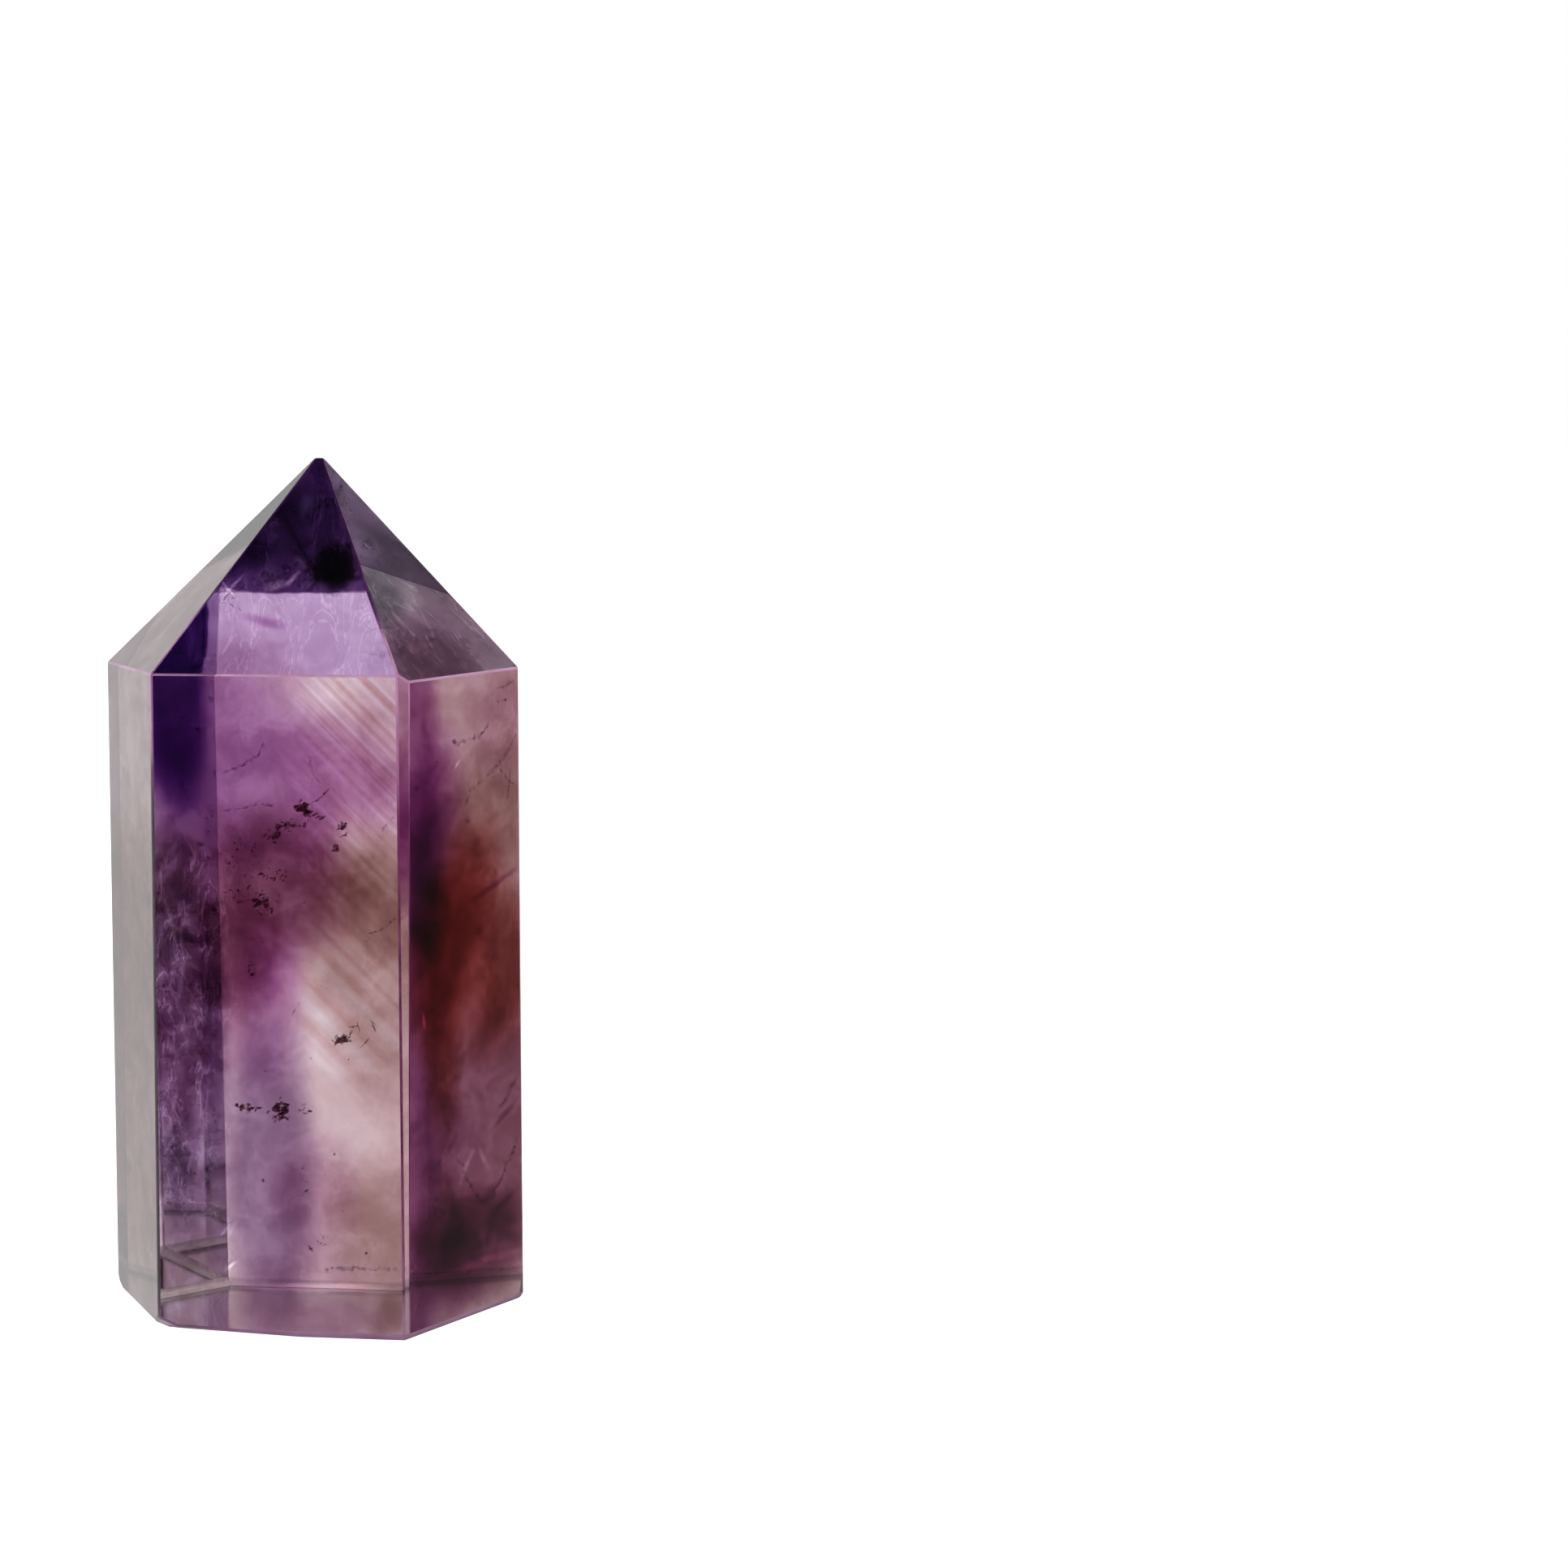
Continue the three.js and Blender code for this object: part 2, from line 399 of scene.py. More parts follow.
# Stripes to the millimetre, the heights where a set starts, is full, weakens and is gone, and its strength
STRIPE_SETS = [
    (1.2, 33, 42, 54, 57, 1.15),
    (0.5, 18, 28, 38, 44, 1.0),
]
# The dark band along the left of the front face, where the far faces reflect the dark room inwards:
# where it fades in across the face and down from the top
BAND_EDGE = (-4.5, -7.5)
BAND_TOP = (48.0, 36.0)
# How deep the puffs of colour are outside the band and in it, and how deep fine threads are everywhere,
# how much deeper in the band, and what share of that the point shows
PUFF_DEPTHS = (0.14, 0.34)
THREAD_DEPTH = 0.05
BAND_THREADS = 0.3
POINT_THREADS = 0.6
# Puffs and threads to the millimetre, how far threads are drawn out upwards, and how much of their
# noise a thread takes up
PUFF_SCALE = 0.28
THREAD_SCALE = 0.5
THREAD_STRETCH = 0.35
THREAD_WIDTH = 0.02


# Inclusions. All lengths and places are in millimetres, and a side is the face that they lie behind.
DENSITY_NAME = "cover"
PATCH_SIDES = 8
PATCH_RAGGEDNESS = (0.6, 1.1)
SKIN = 0.12 * MM
# How far a line of sight goes on before it may meet the far side, and how much of the way a place may be
CLEARANCE = 0.01 * MM
DEEPEST_SHARE = 0.9
# How far patches turn from the way their side looks in a trail and in a cloud, in degrees
TRAIL_TILT = 30
CLOUD_TILT = 55
LEAN_SPREAD = 25
# Ranges that chance picks from: a trail's patches take their length from its step
TRAIL_LENGTHS = (1.5, 4.0)
TRAIL_WIDTHS = (0.5, 1.5)
VARIED_SIZE = (0.4, 1.6)
VARIED_DENSITY = (0.4, 1.2)
# A dark grain's length and width, as shares of the length that its group is listed with
GRAIN_LENGTH = 1.4
GRAIN_WIDTH = 0.8
FILM_IOR = 1.45
DARKER_SHARE = 0.6
# Colour, roughness and fineness of the grain of each kind
RUST_LOOK = ((0.42, 0.15, 0.20), 0.5, 3.0)
CRACK_LOOK = ((0.62, 0.36, 0.72), 0.4, 2.0)
MILK_LOOK = ((0.92, 0.88, 0.94), 0.7, 1.2)
VEIN_LOOK = ((0.80, 0.55, 0.62), 0.7, 1.5)
# The slivers are near white as painted glints, for the light that crack faces reflect.
PAINTED_GLINT_LOOK = ((0.93, 0.88, 0.93), 0.25, 3.0)


@dataclass
class Seen:
    """A place inside the stone, picked in the photograph.

    The column and row are pixels of the photograph, and the depth is in millimetres along the line
    of sight behind the surface. Places that aren't Seen are in millimetres.
    """

    column: int
    row: int
    depth: float


# Middle, half sizes, number of grains and their length
RUST_GROUPS = [
    (Seen(375, 996, 3), (0.7, 0.4, 0.4), 22, 0.55),
    ((2.0, -10.3, 43.0), (0.6, 0.4, 0.3), 10, 0.35),
    ((-0.6, -10.0, 42.3), (1.0, 0.3, 0.3), 14, 0.4),
    ((-1.9, -9.9, 41.4), (0.6, 0.3, 0.4), 14, 0.4),
    (Seen(421, 1018, 3), (0.3, 0.3, 0.4), 12, 0.45),
    ((4.1, -10.6, 41.7), (0.2, 0.2, 0.3), 4, 0.3),
    (Seen(414, 1044, 3), (0.3, 0.3, 0.4), 10, 0.4),
    ((-3.8, -9.6, 40.6), (1.2, 0.6, 0.8), 16, 0.25),
    ((-5.4, -9.5, 39.3), (0.8, 0.5, 0.8), 10, 0.25),
    ((-1.8, -9.0, 37.9), (1.6, 0.8, 0.5), 26, 0.28),
    ((-2.6, -8.8, 35.9), (1.8, 0.8, 0.7), 40, 0.32),
    ((-4.6, -7.6, 36.9), (1.2, 0.6, 1.0), 16, 0.22),
    (Seen(264, 1120, 3), (0.4, 0.3, 0.4), 8, 0.35),
    ((-3.7, -8.7, 30.1), (0.4, 0.3, 0.8), 7, 0.35),
    (Seen(577, 1013, 2), (0.4, 0.5, 0.3), 8, 0.3),
    (Seen(589, 1146, 2), (0.4, 0.5, 0.5), 6, 0.25),
    (Seen(514, 973, 1.5), (0.2, 0.3, 0.3), 7, 0.3),
    (Seen(422, 1281, 2.5), (0.5, 0.1, 0.3), 34, 0.42),
    (Seen(347, 1367, 3), (0.8, 0.3, 0.8), 60, 0.4),
    (Seen(306, 1364, 3), (1.0, 0.3, 0.4), 26, 0.35),
    (Seen(375, 1367, 3), (0.8, 0.3, 0.5), 10, 0.25),
    (Seen(324, 1454, 3), (0.1, 0.1, 0.1), 8, 0.3),
    (Seen(378, 1467, 3), (0.1, 0.1, 0.1), 6, 0.22),
    (Seen(382, 1536, 3), (0.1, 0.1, 0.3), 6, 0.25),
    (Seen(452, 1545, 3), (0.1, 0.1, 0.1), 5, 0.22),
    (Seen(413, 1422, 3), (0.1, 0.1, 0.1), 4, 0.2),
    (Seen(400, 1528, 3), (0.7, 0.3, 0.5), 9, 0.18),
    ((0.0, -9.0, 30.0), (7.0, 3.0, 25.0), 60, 0.12),
]
RUST_LINES = [
    [(0.9, -10.2, 43.9), (1.9, -10.3, 44.4), Seen(402, 975, 3)],
    [Seen(332, 1032, 3), (-1.1, -10.0, 42.2), (0.1, -10.1, 42.4)],
    [(4.3, -11.2, 25.2), (4.5, -11.2, 25.9), (5.0, -11.3, 26.0), (5.1, -11.3, 25.4)],
    [(6.0, -11.4, 26.5), (6.3, -11.4, 25.8)],
    [Seen(444, 1290, 2.5), Seen(455, 1280, 2.5)],
    [(3.0, -11.0, 24.3), (3.6, -11.1, 24.9), (4.3, -11.2, 25.1)],
]
# Side, points, width and density
VIOLET_LINES = [
    ("front", [(-5.6, -10.4, 46.7), Seen(300, 942, 2), Seen(318, 930, 2),
               Seen(325, 915, 2)], 0.33, 0.96),
    ("front", [Seen(275, 1000, 2), Seen(300, 995, 2), Seen(320, 989, 2),
               Seen(335, 995, 2)], 0.24, 0.72),
    ("front", [Seen(382, 936, 2), Seen(384, 950, 2), Seen(392, 962, 2)], 0.18, 0.6),
    ("front", [Seen(486, 1005, 2), Seen(475, 1018, 2), Seen(470, 1025, 2)], 0.21, 0.6),
    ("front", [Seen(495, 1130, 2), Seen(470, 1145, 2), Seen(455, 1150, 2)], 0.24, 0.72),
    ("front", [(0.3, -11.2, 28.0), Seen(360, 1250, 2)], 0.21, 0.6),
    ("right", [Seen(556, 916, 2), Seen(575, 913, 2), Seen(590, 906, 2),
               Seen(602, 892, 2)], 0.525, 0.84),
    ("right", [Seen(612, 866, 1.5), Seen(625, 862, 1.5)], 0.3, 0.72),
    ("right", [(15.2, -2.1, 52.6), (16.4, -0.3, 52.9)], 0.45, 0.72),
    ("right", [Seen(617, 948, 1.5), Seen(625, 962, 1.5), (16.3, -0.5, 44.2)], 0.21, 1.08),
    ("right", [(16.1, -1.0, 45.6), (15.9, -1.2, 43.1)], 0.21, 1.08),
    ("right", [Seen(636, 905, 3), Seen(620, 935, 3), Seen(600, 955, 3), Seen(580, 975, 3),
               Seen(570, 1000, 3)], 0.525, 0.42),
    ("right", [Seen(607, 1470, 2), Seen(618, 1452, 2), (15.9, 0.0, 13.0)], 0.45, 0.96),
    ("right", [Seen(640, 1320, 3), Seen(625, 1350, 3), Seen(615, 1365, 3)], 0.6, 0.6),
    ("right", [(11.9, -4.9, 11.6), (13.0, -2.9, 9.2), (14.2, -1.2, 9.6)], 0.45, 0.6),
    ("front", [(1.9, -10.4, 5.5), (5.3, -10.8, 5.6), (8.0, -11.2, 5.7)], 0.525, 0.6),
]
# Side, middle, half sizes, number and length
VIOLET_BLOTS = [
    ("front", Seen(240, 1100, 4), (0.8, 0.8, 0.8), 14, 1.0),
    ("front", (-6.3, -8.4, 32.2), (1.2, 0.8, 1.0), 18, 1.0),
    ("front", (-7.6, -7.3, 27.0), (1.0, 0.8, 2.0), 18, 1.2),
    ("right", Seen(540, 1490, 3), (1.6, 1.8, 1.6), 40, 1.0),
    ("right", Seen(560, 1520, 3), (1.8, 2.0, 1.0), 24, 0.9),
    ("right", (12.7, -3.4, 5.6), (2.4, 2.4, 0.4), 18, 1.0),
]
# Middle, half sizes, number, length, width, density and lean
MILK_CLOUDS = [
    ((-9.0, -7.4, 5.0), (3.0, 2.0, 3.0), 40, 1.6, 1.0, 0.25, 20),
    ((-2.0, -1.6, 60.4), (1.6, 1.0, 1.0), 70, 1.4, 0.5, 0.55, 55),
    ((0.6, 0.4, 66.0), (1.6, 1.0, 1.8), 40, 1.2, 0.5, 0.3, 30),
    ((4.1, -2.2, 63.6), (0.6, 0.6, 0.6), 24, 0.9, 0.6, 0.625, 40),
    ((8.0, -8.0, 56.6), (2.4, 2.0, 2.2), 40, 2.4, 1.0, 0.25, 40),
]
# Side, points, width, density and spread
MILK_LINES = [
    ("front", [Seen(300, 725, 6), Seen(320, 718, 6), (-1.7, -2.0, 59.8),
               (-0.6, -1.2, 61.0)], 0.65, 0.7, 0.3),
    ("front", [Seen(330, 727, 6), (-1.7, -1.8, 60.5), (-0.2, -1.0, 61.9), (0.5, -1.5, 61.2),
               (0.2, -2.0, 60.2), (-0.6, -2.2, 59.9)], 0.455, 1.0, 0.2),
    ("front", [Seen(270, 745, 3), Seen(282, 732, 3), Seen(290, 716, 3)], 0.208, 1.2, 0.15),
    ("front", [(-6.2, -4.5, 60.4), (-5.6, -5.1, 59.7), (-5.0, -5.8, 58.9)], 0.182, 1.2, 0.15),
    ("front", [(-6.0, -4.3, 60.0), (-5.3, -5.1, 59.2)], 0.182, 1.2, 0.2),
    ("front", [Seen(205, 950, 5), Seen(225, 975, 5), Seen(245, 1000, 5),
               Seen(262, 1020, 5)], 0.39, 0.7, 0.3),
    ("front", [Seen(192, 868, 3), Seen(215, 880, 3), Seen(240, 893, 3)], 0.208, 0.44, 0.06),
    ("front", [Seen(193, 905, 4), Seen(225, 900, 4), Seen(260, 890, 4)], 0.39, 0.3, 0.1),
    ("front", [(-8.2, -7.2, 18.5), Seen(262, 1420, 5), Seen(258, 1470, 5)], 0.91, 0.6, 0.4),
    ("front", [(-11.2, -8.8, 21.0), Seen(212, 1375, 3), (-9.6, -8.9, 13.0)], 0.39, 0.5, 0.3),
    ("right", [(0.6, 1.5, 69.3), Seen(420, 610, 4), Seen(440, 640, 4)], 0.52, 0.6, 0.3),
    ("right", [Seen(556, 1410, 3), Seen(540, 1440, 3), Seen(532, 1470, 3)], 0.39, 0.7, 0.2),
    ("right", [Seen(556, 1410, 3), Seen(575, 1450, 3)], 0.39, 0.6, 0.2),
    ("left", [Seen(150, 900, 3), Seen(156, 1000, 3), Seen(150, 1100, 3)], 0.52, 0.24, 0.5),
    ("left", [Seen(165, 1300, 3), Seen(150, 1330, 3), Seen(145, 1380, 3)], 0.52, 0.3, 0.4),
]
# Points, width and density
VEIN_LINES = [
    ([Seen(190, 1060, 5), Seen(205, 1090, 5), Seen(215, 1130, 5), Seen(212, 1170, 5)], 0.5, 0.315),
    ([Seen(265, 1095, 5), Seen(245, 1110, 5), Seen(225, 1130, 5), Seen(210, 1160, 5),
      Seen(200, 1190, 5)], 0.5, 0.315),
    ([Seen(235, 1190, 4), Seen(250, 1180, 4), Seen(275, 1180, 4)], 0.4, 0.28),
    ([Seen(225, 1100, 6), Seen(222, 1140, 6), Seen(225, 1190, 6), Seen(230, 1230, 6)], 0.6, 0.28),
    ([(-11.2, -7.4, 28.6), (-9.8, -7.2, 29.4), (-8.6, -7.4, 28.2), (-8.8, -7.4, 25.6)], 0.4, 0.245),
    ([(-7.4, -8.0, 34.0), (-7.0, -8.0, 36.0), (-5.6, -8.2, 37.6)], 0.3, 0.21),
]
# Side, points and width of each line of painted glints along a crack edge
PAINTED_GLINT_LINES = [
    ("front", [Seen(207, 1411, 3), (-10.3, -8.9, 16.6)], 0.22),
    ("front", [(-9.7, -9.0, 17.2), Seen(233, 1372, 3)], 0.16),
    ("front", [(-11.0, -8.8, 19.9), (-10.8, -8.9, 18.4)], 0.08),
    ("front", [Seen(274, 1521, 2), Seen(282, 1508, 2)], 0.16),
    ("front", [(-6.6, -10.4, 5.3), (-5.3, -10.5, 6.5)], 0.14),
    ("front", [Seen(232, 1518, 3), Seen(238, 1510, 3)], 0.12),
    ("front", [Seen(300, 1445, 2), Seen(305, 1440, 2)], 0.1),
    ("right", [Seen(529, 952, 1.5), (10.8, -9.2, 47.4)], 0.18),
    ("right", [(15.0, -1.3, 11.7), (15.9, 0.0, 13.2)], 0.28),
    ("right", [(9.4, -11.9, 27.3), (9.1, -12.4, 26.3), (9.3, -12.0, 25.3)], 0.16),
    ("right", [(9.2, -11.6, 1.3), (9.0, -12.0, 1.7)], 0.16),
    ("right", [Seen(548, 1220, 3), Seen(549, 1260, 3)], 0.06),
    ("right", [(1.9, -0.7, 69.0), (1.9, -1.0, 68.6)], 0.14),
]
# Side, middle, half sizes and number of each group of painted glint specks
PAINTED_GLINT_SPECKS = [
    ("front", (-7.3, -10.2, 10.0), (0.8, 0.4, 0.6), 16),
    ("front", (-9.6, -8.8, 10.8), (2.2, 0.4, 0.3), 18),
    ("front", Seen(255, 1058, 2), (0.1, 0.1, 0.2), 3),
    ("front", Seen(268, 1144, 2), (0.1, 0.1, 0.1), 4),
    ("front", Seen(320, 1162, 2), (0.2, 0.1, 0.2), 4),
    ("front", (-3.5, -9.4, 38.5), (2.4, 1.0, 3.0), 16),
    ("front", (-9.0, -7.4, 16.0), (2.0, 1.2, 5.0), 14),
    ("front", Seen(336, 643, 4), (0.5, 0.3, 0.5), 7),
    ("front", (-1.0, 0.5, 66.6), (0.2, 0.2, 0.5), 3),
    ("front", (0.0, -1.0, 62.6), (2.2, 1.0, 1.6), 10),
    ("right", (2.5, -1.3, 67.4), (0.5, 0.5, 1.2), 6),
    ("right", (8.2, -5.0, 57.2), (2.0, 2.0, 3.0), 6),
    ("right", (10.1, -9.3, 40.4), (0.2, 0.2, 1.2), 4),
    ("right", (10.5, -8.8, 37.0), (0.8, 0.8, 1.4), 4),
    ("right", (10.4, -7.1, 22.4), (0.1, 0.1, 4.0), 34),
    ("right", (10.6, -6.7, 16.4), (0.4, 0.5, 1.2), 20),
    ("right", (9.4, -8.6, 11.0), (0.6, 0.8, 0.8), 8),
    ("right", (12.6, -4.0, 28.0), (2.0, 2.6, 8.0), 8),
    ("right", (9.0, -11.6, 3.0), (0.4, 0.5, 1.6), 12),
]


def face_mask(graph, name):
    """1 on one flat face of the stone and 0 on its other faces and rounded edges."""
    normal = graph.add("ShaderNodeTexCoord").outputs["Normal"]
    likeness = graph.vector("DOT_PRODUCT", normal, FACES[name])
    return graph.math("GREATER_THAN", likeness, FACE_TOLERANCE)


def chart_spot(graph):
    """Where a point lies on the chart, in millimetres: its page and its place across, then its height."""
    spot = graph.split(graph.place())
    across = spot["X"]
    turned = graph.math("SUBTRACT", spot["Y"], spot["X"])
    for page, (_, faces) in enumerate(PAGES):
        for name, axis in faces.items():
            start = page * PAGE_STEP
            shift = graph.math("ADD", turned, start) if axis == "Y" else start
            across = graph.math("ADD", across, graph.math("MULTIPLY", face_mask(graph, name), shift))
    return graph.add("ShaderNodeCombineXYZ", X=across, Y=spot["Z"]).outputs[0]


def wavered(graph, spot, size, reach):
    """Shifts spots by a soft noise, so that no zone has a plain oval outline."""
    noise = graph.noise(spot, 1 / size, detail=4.0, roughness=0.6, wanted="Color")
    centred = graph.vector("SUBTRACT", noise, (0.5, 0.5, 0.5))
    return graph.vector("ADD", spot, graph.vector("MULTIPLY", centred, (reach, reach, 0)))


def oval_distance(graph, offset, zone):
    """How far an offset from the middle of a zone is, where 1 is the zone's outline."""
    turn = math.radians(zone.tilt)
    if zone.tilt:
        along = graph.vector("DOT_PRODUCT", offset, (math.cos(turn), math.sin(turn), 0))
        beside = graph.vector("DOT_PRODUCT", offset, (-math.sin(turn), math.cos(turn), 0))
        offset = graph.add("ShaderNodeCombineXYZ", X=along, Y=beside).outputs[0]
    return graph.vector("LENGTH", graph.vector("DIVIDE", offset, (*zone.reach, 1)), (0, 0, 0))


def light_taken(graph, spot):
    """Adds up how much red, green and blue light the zones take away on each spot of the chart."""
    total = (0.0, 0.0, 0.0)
    for page, (zones, _) in enumerate(PAGES):
        for zone in zones:
            across, height = zone.centre
            offset = graph.vector("SUBTRACT", spot, (across + page * PAGE_STEP, height, 0))
            share = graph.fade(oval_distance(graph, offset, zone), 1.0, zone.core)
            strength = graph.math("MULTIPLY", share, zone.strength)
            total = graph.vector("ADD", graph.vector("SCALE", zone.dye, strength), total)
    return total


def growth_stripes(graph):
    """Straight growth bands that run down to the right over the front: fine ones high, broad ones low."""
    spot = graph.split(graph.place())
    along = graph.math("ADD", spot["X"], spot["Z"])
    one_way = {"noise_dimensions": "1D"}
    depth = 0.0
    for scale, start, full, weaker, gone, strength in STRIPE_SETS:
        bands = graph.add("ShaderNodeTexNoise", one_way, W=along, Scale=scale, Detail=2.0)
        wave = graph.math("MULTIPLY", graph.math("SUBTRACT", bands.outputs["Fac"], 0.5), strength)
        wave = graph.math("MULTIPLY", wave, graph.fade(spot["Z"], start, full))
        wave = graph.math("MULTIPLY", wave, graph.fade(spot["Z"], gone, weaker))
        depth = graph.math("ADD", wave, depth)
    right = graph.fade(spot["X"], *STRIPE_EDGE)
    return graph.math("MULTIPLY", depth, graph.math("MULTIPLY", right, face_mask(graph, "front")))


def clouding(graph, chart):
    """How strong the colour is on each spot: softly mottled, and smoky and threaded in places."""
    spot = graph.split(graph.place())
    left = graph.fade(spot["X"], *BAND_EDGE)
    low = graph.fade(spot["Z"], *BAND_TOP)
    band = graph.math("MULTIPLY", graph.math("MULTIPLY", left, low), face_mask(graph, "front"))
    point = graph.math("ADD", face_mask(graph, "front_point"), face_mask(graph, "right_point"))
    threaded = graph.math("ADD", band, graph.math("MULTIPLY", point, POINT_THREADS))
    smoke = graph.noise(chart, PUFF_SCALE, detail=6.0, roughness=0.62, distortion=0.5)
    swing = graph.fade(smoke, 0.3, 0.7, -1.0, 1.0)
    puffs = graph.math("MULTIPLY", swing, graph.fade(band, 0.0, 1.0, *PUFF_DEPTHS))
    upright = graph.vector("MULTIPLY", chart, (1.0, THREAD_STRETCH, 1.0))
    lines = graph.noise(upright, THREAD_SCALE, detail=4.0, roughness=0.6, distortion=0.8)
    off_line = graph.math("ABSOLUTE", graph.math("SUBTRACT", lines, 0.5))
    depth = graph.math("ADD", graph.math("MULTIPLY", threaded, BAND_THREADS), THREAD_DEPTH)
    threads = graph.math("MULTIPLY", graph.fade(off_line, THREAD_WIDTH, 0.0), depth)
    return graph.math("ADD", graph.math("SUBTRACT", puffs, threads), 1.0)


def dyed_colour(graph):
    """The base colour that lets light through a face as Beer's law does.

    A face tints the light that crosses it by the square root of its base colour, so what the face
    takes counts twice in that colour. Light that meets a face from inside is left as it is: its
    normal is turned over and would match the wrong page.
    """
    chart = chart_spot(graph)
    blurred = chart
    for size, reach in WAVERS:
        blurred = wavered(graph, blurred, size, reach)
    stripes = graph.vector("SCALE", STRIPE_TAKES, growth_stripes(graph))
    taken = graph.vector("ADD", stripes, light_taken(graph, blurred))
    inside = graph.add("ShaderNodeNewGeometry").outputs["Backfacing"]
    share = graph.math("MULTIPLY", clouding(graph, chart), graph.math("SUBTRACT", 1.0, inside))
    crossed = graph.vector("SCALE", graph.vector("SCALE", taken, share), -2.0)
    passed = [graph.math("EXPONENT", part) for part in graph.split(crossed)]
    return graph.add("ShaderNodeCombineColor", Red=passed[0], Green=passed[1], Blue=passed[2]).outputs[0]


def foot_roughness(graph):
    """The base is finely ground, and the rounded edge round it is left duller still."""
    height = graph.split(graph.place())["Z"]
    normal = graph.add("ShaderNodeTexCoord").outputs["Normal"]
    upright = graph.math("ABSOLUTE", graph.split(normal)["Z"])
    slanted = graph.math("LESS_THAN", upright, FACE_TOLERANCE)
    slanted = graph.math("MULTIPLY", slanted, graph.math("GREATER_THAN", upright, RIM_START))
    dullness = graph.fade(slanted, 0.0, 1.0, GROUND_ROUGHNESS, RIM_ROUGHNESS)
    return graph.math("MULTIPLY", graph.fade(height, GROUND_HEIGHT_MM, 0.0), dullness)


def quartz():
    """Clear quartz with its dyes: an even absorption inside, and zones that its faces show."""
    graph = MaterialGraph("quartz")
    graph.set(Transmission_Weight=1.0, IOR=QUARTZ_IOR)
    graph.set(Roughness=graph.math("ADD", foot_roughness(graph), POLISH_ROUGHNESS))
    graph.set(Base_Color=dyed_colour(graph))
    absorption = graph.add("ShaderNodeVolumeAbsorption")
    # Beer's law: the colour is what white light has left after HAZE_DEPTH of stone
    strength = [-math.log(share) / HAZE_DEPTH for share in HAZE_COLOUR]
    densest = max(strength)
    absorption.inputs["Color"].default_value = (*[1 - s / densest for s in strength], 1.0)
    absorption.inputs["Density"].default_value = densest
    graph.tree.links.new(absorption.outputs[0], graph.output.inputs["Volume"])
    return graph.material


def polished_stone():
    """The stone with its flat faces kept flat and its rounded edges shaded smooth."""
    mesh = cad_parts[TOWER].data.copy()
    mesh.name = "polished_stone"
    shape = welded_stone()
    for face in shape.faces:
        face.smooth = True
    mesh.materials.clear()
    mesh.materials.append(quartz())
    shape.to_mesh(mesh)
    shape.free()
    stone = bpy.data.objects.new("polished_stone", mesh)
    bpy.context.scene.collection.objects.link(stone)
    even = stone.modifiers.new("flat_faces", "WEIGHTED_NORMAL")
    even.weight = 100
    even.keep_sharp = True
    bpy.context.view_layer.objects.active = stone
    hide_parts(TOWER)
    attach(stone, "root")
    return stone


def camera_pitch():
    """How far the camera looks down, in radians, as the row of the horizon says."""
    return math.atan((PHOTO_SIZE_PX / 2 - HORIZON_ROW_PX) / FOCAL_PX)


def line_of_sight(column, row):
    """The way from the camera to what one pixel of the photograph shows."""
    middle = PHOTO_SIZE_PX / 2
    sight = Vector(((column - middle) / FOCAL_PX, 1, (middle - row) / FOCAL_PX))
    sight.rotate(Euler((-camera_pitch(), 0, 0)))
    return sight.normalized()


def bent_inwards(sight, outwards):
    """How a line of sight goes on in the stone, by the law of refraction."""
    slowing = 1 / QUARTZ_IOR
    straight = -sight.dot(outwards)
    inwards = slowing * straight - math.sqrt(1 - slowing**2 * (1 - straight**2))
    return (sight * slowing + outwards * inwards).normalized()


class Interior:
    """The inside of the stone, between the planes of its flat faces."""

    def __init__(self):
        shape = welded_stone()
        self.surface = BVHTree.FromBMesh(shape)
        self.planes = []
        for outwards in FACES.values():
            self.planes.append((outwards, max(vert.co.dot(outwards) for vert in shape.verts)))
        shape.free()

    def holds(self, spot):
        """Whether a spot, in metres, lies deeper than the skin behind every plane."""
        return all(spot.dot(outwards) < reach - SKIN for outwards, reach in self.planes)

    def place(self, point):
        """A point in millimetres. A place that the photograph shows is found to a tenth of one."""
        if not isinstance(point, Seen):
            return Vector(point)
        sight = line_of_sight(point.column, point.row)
        entry, outwards, _, _ = self.surface.ray_cast(CAMERA_PLACE, sight)
        inwards = bent_inwards(sight, outwards)
        _, _, _, way_through = self.surface.ray_cast(entry + inwards * CLEARANCE, inwards)
        spot = entry + inwards * min(point.depth * MM, way_through * DEEPEST_SHARE)
        return Vector([round(part / MM, 1) for part in spot])


def facing(side, tilt, dice):
    """A direction round the one that a side looks in, turned by up to the tilt each way."""
    azimuth = math.degrees(math.atan2(FACES[side].y, FACES[side].x)) + dice.uniform(-tilt, tilt)
    return direction(azimuth, dice.uniform(-tilt, tilt))


